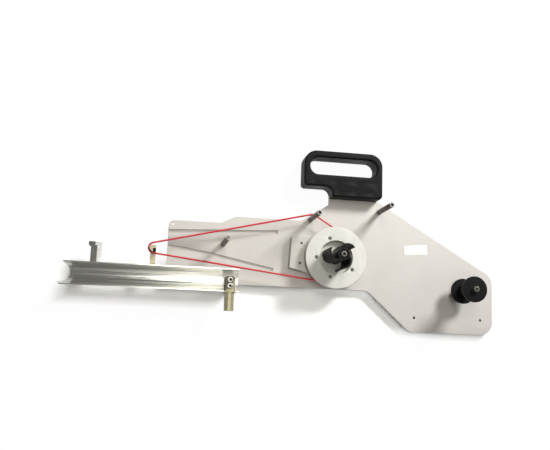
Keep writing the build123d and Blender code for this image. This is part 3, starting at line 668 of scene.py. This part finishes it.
class STRAP_OT_reel_hub(bpy.types.Operator):
    """Turning shaft with its ring and washer, belt pulley and reel disc with its screws"""

    bl_idname = "strap.reel_hub"
    bl_label = "Reel hub"

    def execute(self, context):
        ours = context.scene.strap_cutter
        steel = bpy.data.materials["oiled ground steel"]
        for node in ("hub_shaft", "retaining_washer", "retaining_ring"):
            dress(node, steel, ours.sizes.small_edge)
        grey = turned_plastic("turned grey acetal", ours.colours.pulley, 0.9, specular=0.5)
        dress("belt_pulley", grey, ours.sizes.small_edge)
        white = turned_plastic("turned white acetal", ours.colours.disc, 1.1, specular=0.5)
        dress("reel_disc", white, ours.sizes.disc_edge)
        dress(
            "disc_screws",
            plated_steel("dull zinc-plated steel", ours.colours.disc_screws, 0.8, 0.42),
            ours.sizes.small_edge,
        )
        return {"FINISHED"}


class STRAP_OT_claw(bpy.types.Operator):
    """Three-jaw claw for the reel's core, with its washer and screw"""

    bl_idname = "strap.claw"
    bl_label = "Core claw"

    def execute(self, context):
        ours = context.scene.strap_cutter
        black = turned_plastic("machined black acetal", ours.colours.black, 0.8)
        dress("core_claw", black, ours.sizes.small_edge)
        dress("claw_washer", bpy.data.materials["blackened steel"], ours.sizes.small_edge)
        screw = dress("claw_screw", bpy.data.materials["dull zinc-plated steel"], ours.sizes.small_edge)
        # The claw screw's socket is painted dark, as painted shade.
        paint_socket_shade(screw, bpy.data.materials["blackened steel"])
        return {"FINISHED"}


class STRAP_OT_spool(bpy.types.Operator):
    """Guide spool with its flanges, stud, spacer, washer and screw"""

    bl_idname = "strap.spool"
    bl_label = "Guide spool"

    def execute(self, context):
        ours = context.scene.strap_cutter
        black = turned_plastic("turned black acetal", ours.colours.black, 1.2, JOINT_AT["spool_spin"])
        for node in ("spool_core", "spool_back_flange", "spool_front_flange"):
            dress(node, black, ours.sizes.small_edge)
        steel = bpy.data.materials["oiled ground steel"]
        for node in ("spool_stud", "spool_spacer"):
            dress(node, steel, ours.sizes.small_edge)
        dress("spool_washer", bpy.data.materials["blackened steel"], ours.sizes.small_edge)
        dress("spool_screw", bpy.data.materials["dull zinc-plated steel"], ours.sizes.small_edge)
        return {"FINISHED"}


class STRAP_OT_back_screws(bpy.types.Operator):
    """Screws and washers behind the plate"""

    bl_idname = "strap.back_screws"
    bl_label = "Back screws"

    def execute(self, context):
        ours = context.scene.strap_cutter
        zinc = plated_steel("zinc-plated steel", ours.colours.screws)
        for node in ("back_screws", "back_washers"):
            dress(node, zinc, ours.sizes.small_edge)
        return {"FINISHED"}


class STRAP_OT_belt(bpy.types.Operator):
    """Round drag belt"""

    bl_idname = "strap.belt"
    bl_label = "Drag belt"

    def execute(self, context):
        ours = context.scene.strap_cutter
        dress("drag_belt", cast_urethane("cast red urethane", ours.colours.belt), 0.02 * MM)
        return {"FINISHED"}


class STRAP_OT_chute(bpy.types.Operator):
    """Stainless chute and its spacer"""

    bl_idname = "strap.chute"
    bl_label = "Chute"

    def execute(self, context):
        ours = context.scene.strap_cutter
        dress("chute", drawn_stainless("drawn stainless steel", ours.colours.chute), ours.sizes.small_edge)
        dress("chute_spacer", bpy.data.materials["milled aluminium"], ours.sizes.plate_edge)
        return {"FINISHED"}


class STRAP_OT_leg(bpy.types.Operator):
    """Leg bracket with its block and screws"""

    bl_idname = "strap.leg"
    bl_label = "Leg bracket"

    def execute(self, context):
        ours = context.scene.strap_cutter
        olive = passivated_steel("olive passivated steel", ours.colours.leg)
        leg = dress("leg_bracket", olive, ours.sizes.plate_edge)
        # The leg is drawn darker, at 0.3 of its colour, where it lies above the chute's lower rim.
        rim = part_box("chute")[0][1]
        face_finish(
            leg,
            passivated_steel("leg steel drawn darker over the chute", shade_of(ours.colours.leg, 0.3)),
            lambda face: face.center.y > rim + 4 * MM,
        )
        dress("leg_block", bpy.data.materials["milled aluminium"], ours.sizes.plate_edge)
        screws = dress("leg_screws", bpy.data.materials["zinc-plated steel"], ours.sizes.small_edge)
        # The leg screws' sockets are painted dark, as painted shade.
        paint_socket_shade(screws, bpy.data.materials["blackened steel"])
        return {"FINISHED"}


class STRAP_OT_hooks(bpy.types.Operator):
    """Belt hook with a black block in its notch, which is painted shade where the notch lies in shadow, and
    the left hook with its pale bar
    """

    bl_idname = "strap.hooks"
    bl_label = "Hooks"

    def execute(self, context):
        ours = context.scene.strap_cutter
        tan = passivated_steel("tan passivated steel", ours.colours.peg, 0.3)
        dress("middle_hook", tan, ours.sizes.plate_edge)
        # The belt stop is a black block that stands for the shade in the hook's notch: painted shade.
        dress("belt_stop", bpy.data.materials["moulded black nylon"], ours.sizes.small_edge)
        dark = passivated_steel("dark passivated steel", ours.colours.dark_hook)
        dress("left_hook", dark, ours.sizes.plate_edge)
        dress(
            "left_light_bar",
            passivated_steel("pale passivated steel", ours.colours.pale_bar, 0.2),
            ours.sizes.plate_edge,
        )
        return {"FINISHED"}


# The seen table glows all round a band, which lies along the part's lower edges and keeps their shadow;
# elsewhere the glow is painted light over the part's shadow. Places are in metres. To the right the edges
# lie nearer to -Y, and the band follows them.
TABLE_RADIUS = 5.0
TABLE_BELOW = 0.05 * MM          # gap between the part's lowest point and the table
RIM_ANGLES = (20, 40, 60, 80)    # steps of the rim's sweep, in degrees
RIM_RISE = 0.45
RIM_GROWTH = 0.08
SKEW_SPAN = (-0.15, 0.165)       # between these X the band moves towards -Y, by SKEW_SHIFT in all
SKEW_SHIFT = 0.034
BACK_EDGE = (-0.036, -0.006)     # Y where the band fades out at its back
FRONT_EDGE = (-0.084, -0.069)    # Y where it fades in at its front
LEFT_EDGE = (-0.414, -0.387)     # X where it fades in at its left
GLOW_SHARE = 0.95
TABLE_WHITE = (0.8, 0.8, 0.8, 1)
# Brighter than any real white, so that lamps that suit the part still leave the seen table white.
TABLE_SEEN = (1.2, 1.2, 1.2, 1)

KEY_AT, KEY_AIM, KEY_SIZE = (0.88, 1.01, 0.97), (0.0, 0.0, 0.0), (0.42, 0.42)
OVERHEAD_AT, OVERHEAD_AIM, OVERHEAD_SIZE = (-0.13, 0.2, 1.5), (-0.13, 0.2, 0.0), (0.28, 1.4)
CAMERA_AT = (-0.2703, -0.1373, 1.0898)
CAMERA_RIGHT = (0.9852, 0.0324, 0.1684)
CAMERA_AHEAD = (0.1609, 0.1653, -0.973)
CAMERA_LENS = 48.29


class STRAP_OT_studio(bpy.types.Operator):
    """White table with a curved backdrop, two lamps, room light and the camera"""

    bl_idname = "strap.studio"
    bl_label = "Studio"

    def execute(self, context):
        studio = context.scene.strap_cutter.studio
        self.table(context)
        self.room(context, studio.room_level)
        self.lamp("key_lamp", KEY_AT, KEY_AIM, KEY_SIZE, studio.key_power, "#FFFFFF")
        self.lamp(
            "overhead_lamp", OVERHEAD_AT, OVERHEAD_AIM, OVERHEAD_SIZE, studio.overhead_power, "#FFFDF2"
        )
        self.camera(context)
        context.scene.view_settings.view_transform = "Standard"
        return {"FINISHED"}

    def table(self, context):
        """Round table top whose rim sweeps up into a low backdrop."""
        deselect()
        bpy.ops.mesh.primitive_circle_add(
            vertices=96, radius=TABLE_RADIUS, fill_type="NGON", location=(0, 0, CAD_BOX[0][2] - TABLE_BELOW)
        )
        table = context.object
        bpy.ops.object.mode_set(mode="EDIT")
        for angle in RIM_ANGLES:
            pick(table, edges=lambda e: e.is_boundary)
            bpy.ops.mesh.extrude_region_move(
                TRANSFORM_OT_translate={"value": (0, 0, RIM_RISE * sin(radians(angle)))}
            )
            bpy.ops.transform.resize(value=(1 + RIM_GROWTH * cos(radians(angle)),) * 2 + (1,))
        bpy.ops.object.mode_set(mode="OBJECT")
        bpy.ops.object.shade_smooth_by_angle(angle=radians(60))
        table.name = "white_table"
        table.data.materials.append(self.laminate())

    def laminate(self):
        """White laminate: plain matt white in the light it throws on the part, brighter where it is seen,
        and there glowing outside the band as painted light over the part's shadow.
        """
        material = bpy.data.materials.new("white laminate")
        material.use_nodes = True
        tree = material.node_tree
        tree.nodes.clear()
        paths = add_node(tree, "ShaderNodeLightPath").outputs
        seen = paths["Is Camera Ray"]
        for kind in ("Is Glossy Ray", "Is Transmission Ray"):
            either = add_node(
                tree, "ShaderNodeMath", {"operation": "MAXIMUM"}, links={0: seen, 1: paths[kind]}
            )
            seen = either.outputs["Value"]
        lit = add_node(tree, "ShaderNodeBsdfDiffuse", values={"Color": TABLE_WHITE})
        shown = add_node(tree, "ShaderNodeBsdfDiffuse", values={"Color": TABLE_SEEN})
        glow = add_node(tree, "ShaderNodeEmission", values={"Color": (1, 1, 1, 1), "Strength": 1.0})
        glowing = add_node(
            tree,
            "ShaderNodeMixShader",
            links={0: self.glow_over_shadow(tree), 1: shown.outputs[0], 2: glow.outputs[0]},
        )
        mix = add_node(
            tree, "ShaderNodeMixShader", links={0: seen, 1: lit.outputs[0], 2: glowing.outputs[0]}
        )
        add_node(tree, "ShaderNodeOutputMaterial", links={"Surface": mix.outputs[0]})
        return material

    def glow_over_shadow(self, tree):
        """Share of the glow, painted light over the part's shadow: everywhere but in the band along the
        part's lower edges.
        """
        place = add_node(tree, "ShaderNodeTexCoord").outputs["Object"]
        axes = add_node(tree, "ShaderNodeSeparateXYZ", links={"Vector": place}).outputs
        skew = add_node(
            tree,
            "ShaderNodeMapRange",
            values={"From Min": SKEW_SPAN[0], "From Max": SKEW_SPAN[1], "To Max": SKEW_SHIFT},
            links={"Value": axes["X"]},
        )
        across = add_node(
            tree, "ShaderNodeMath", {"operation": "ADD"}, links={0: axes["Y"], 1: skew.outputs["Result"]}
        ).outputs["Value"]
        ramps = []
        for source, edge, share in (
            (across, BACK_EDGE, (0.0, GLOW_SHARE)),
            (across, FRONT_EDGE, (GLOW_SHARE, 0.0)),
            (axes["X"], LEFT_EDGE, (GLOW_SHARE, 0.0)),
        ):
            ramp = add_node(
                tree,
                "ShaderNodeMapRange",
                values={"From Min": edge[0], "From Max": edge[1], "To Min": share[0], "To Max": share[1]},
                links={"Value": source},
            )
            ramps.append(ramp.outputs["Result"])
        back, front, left = ramps
        near = add_node(tree, "ShaderNodeMath", {"operation": "MAXIMUM"}, links={0: front, 1: left})
        total = add_node(
            tree, "ShaderNodeMath", {"operation": "ADD"}, links={0: back, 1: near.outputs["Value"]}
        )
        return total.outputs["Value"]

    def room(self, context, level):
        """Even light from all round."""
        world = bpy.data.worlds.new("studio_room")
        context.scene.world = world
        world.use_nodes = True
        world.node_tree.nodes.clear()
        light = add_node(
            world.node_tree,
            "ShaderNodeBackground",
            values={"Color": (1, 1, 1, 1), "Strength": level},
        )
        add_node(world.node_tree, "ShaderNodeOutputWorld", links={"Surface": light.outputs[0]})

    def lamp(self, name, at, aim, size, power, tint):
        """Soft rectangular lamp."""
        deselect()
        bpy.ops.object.light_add(type="AREA", location=at)
        lamp = bpy.context.object
        lamp.name = name
        lamp.data.color = linear(tint)[:3]
        lamp.data.shape = "RECTANGLE"
        lamp.data.size, lamp.data.size_y = size
        lamp.data.energy = power
        lamp.rotation_euler = (Vector(aim) - Vector(at)).to_track_quat("-Z", "Y").to_euler()

    def camera(self, context):
        """Camera above the part's left half, looking down and slightly to the right."""
        deselect()
        bpy.ops.object.camera_add(location=CAMERA_AT)
        camera = context.object
        right = Vector(CAMERA_RIGHT).normalized()
        up = right.cross(Vector(CAMERA_AHEAD)).normalized()
        camera.rotation_euler = Matrix((right, up, right.cross(up))).transposed().to_euler()
        camera.data.sensor_width = 36
        camera.data.lens = CAMERA_LENS
        camera.data.clip_start = 0.01
        context.scene.camera = camera


# ------------------------------------------------------------------ panel
PIECES = (
    STRAP_OT_side_plate,
    STRAP_OT_label,
    STRAP_OT_handle,
    STRAP_OT_posts,
    STRAP_OT_bearing,
    STRAP_OT_reel_hub,
    STRAP_OT_claw,
    STRAP_OT_spool,
    STRAP_OT_back_screws,
    STRAP_OT_belt,
    STRAP_OT_chute,
    STRAP_OT_leg,
    STRAP_OT_hooks,
    STRAP_OT_studio,
)


class STRAP_PT_panel(bpy.types.Panel):
    """Pieces, sizes, colours and light of the strap cutter's side plate"""

    bl_idname = "STRAP_PT_panel"
    bl_label = "Strap Cutter"
    bl_space_type = "VIEW_3D"
    bl_region_type = "UI"
    bl_category = "Strap Cutter"

    def draw(self, context):
        ours = context.scene.strap_cutter
        for operator in PIECES:
            self.layout.operator(operator.bl_idname)
        for group in (ours.sizes, ours.colours, ours.studio):
            box = self.layout.box()
            for name in group.bl_rna.properties.keys():
                if name not in ("rna_type", "name"):
                    box.prop(group, name)


SETTINGS = (STRAP_PG_sizes, STRAP_PG_colours, STRAP_PG_studio, STRAP_PG_settings)
CLASSES = SETTINGS + PIECES + (STRAP_PT_panel,)


def register():
    for group in CLASSES:
        bpy.utils.register_class(group)
    bpy.types.Scene.strap_cutter = bpy.props.PointerProperty(
        name="Strap cutter", description="Sizes, colours and light", type=STRAP_PG_settings
    )


def unregister():
    del bpy.types.Scene.strap_cutter
    for group in reversed(CLASSES):
        bpy.utils.unregister_class(group)


def main():
    register()
    bpy.ops.strap.side_plate()
    bpy.ops.strap.label()
    bpy.ops.strap.handle()
    bpy.ops.strap.posts()
    bpy.ops.strap.bearing()
    bpy.ops.strap.reel_hub()
    bpy.ops.strap.claw()
    bpy.ops.strap.spool()
    bpy.ops.strap.back_screws()
    bpy.ops.strap.belt()
    bpy.ops.strap.chute()
    bpy.ops.strap.leg()
    bpy.ops.strap.hooks()
    bpy.ops.strap.studio()


if __name__ == "__main__":
    main()
